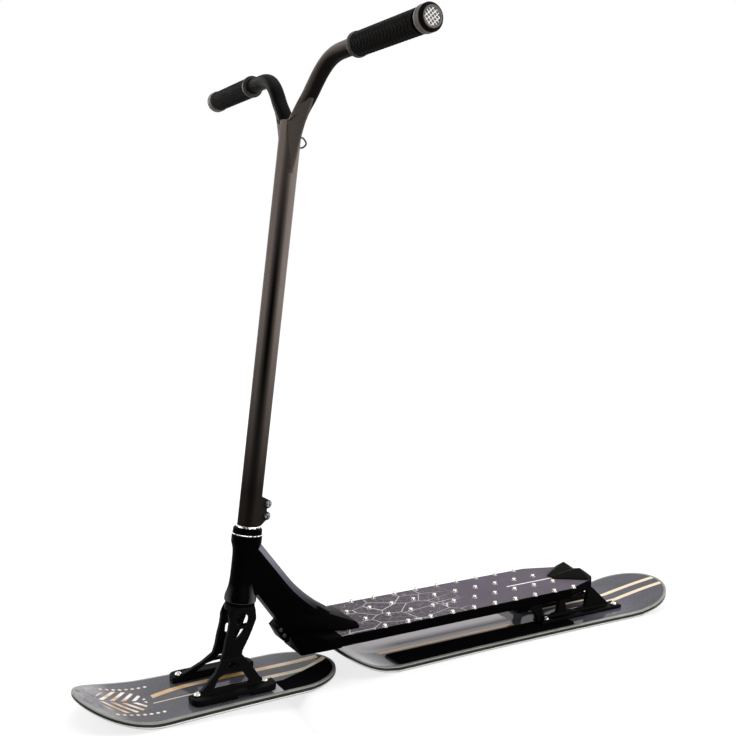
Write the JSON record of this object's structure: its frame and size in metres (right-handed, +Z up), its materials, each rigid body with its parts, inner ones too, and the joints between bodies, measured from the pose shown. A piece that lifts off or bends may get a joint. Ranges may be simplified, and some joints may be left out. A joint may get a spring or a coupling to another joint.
{
  "type": "snow scooter",
  "caption": "Stunt scooter on two short skis: Y-shaped handlebar, headset and forged fork on a steering front ski, and a studded deck raised over a rear ski.",
  "frame": {"origin": "on the snow, under the middle of the whole length and width", "axes": "+X towards the ski noses, +Y to the rider's left, +Z up"},
  "size_m": [1.062, 0.6724, 0.9019],
  "materials": {
    "bar_paint": "satin brown-black paint",
    "frame_black": "semi-gloss black paint",
    "deck_grip": "grey grit coat on top, black sides",
    "ski_topsheet": "glossy printed topsheet",
    "grip_rubber": "matt",
    "stop_rubber": "matt",
    "bright_steel": "polished",
    "dark_steel": "blackened",
    "collar_grey": "anodised"
  },
  "bodies": {
    "frame": {"deck": "deck_grip", "deck_nose": "frame_black", "neck": "frame_black", "neck_lug": "frame_black", "neck_lug_bolt_1": "dark_steel", "neck_lug_bolt_2": "dark_steel", "heel_stop": "stop_rubber", "rear_riser": "frame_black", "rear_ski": "ski_topsheet", "head_tube": "frame_black", "lower_bearing": "dark_steel", "upper_bearing": "dark_steel", "riser_foot_bolt_1": "bright_steel", "riser_foot_bolt_2": "bright_steel", "riser_foot_bolt_3": "bright_steel", "riser_foot_bolt_4": "bright_steel", "riser_deck_bolt_1": "dark_steel", "riser_deck_bolt_2": "dark_steel"},
    "steering": {"headset_seal_ring": "bright_steel", "headset_cap": "frame_black", "fork": "frame_black", "front_ski": "ski_topsheet", "steerer": "dark_steel", "crown_race": "frame_black", "bar_spacer": "bright_steel", "steerer_top_cap": "dark_steel", "compression_bolt": "dark_steel", "star_nut": "bright_steel", "main_tube": "bar_paint", "leash_loop": "dark_steel", "clamp_bolt_1": "bright_steel", "clamp_bolt_2": "bright_steel", "arm_left": "bar_paint", "gusset_left": "bar_paint", "grip_left": "grip_rubber", "grip_collar_left": "collar_grey", "bar_end_plug_left": "grip_rubber", "arm_right": "bar_paint", "gusset_right": "bar_paint", "grip_right": "grip_rubber", "grip_collar_right": "collar_grey", "bar_end_plug_right": "grip_rubber", "fork_foot_bolt_1": "bright_steel", "fork_foot_bolt_2": "bright_steel", "fork_foot_bolt_3": "bright_steel", "fork_foot_bolt_4": "bright_steel"}
  },
  "joints": [
    {"name": "steering_turn", "type": "hinge", "parent": "frame", "child": "steering", "pos_m": [0.28446, 0, 0.175], "axis": [-0.1278, 0, 0.9918], "range_deg": [-90, 90]}
  ]
}
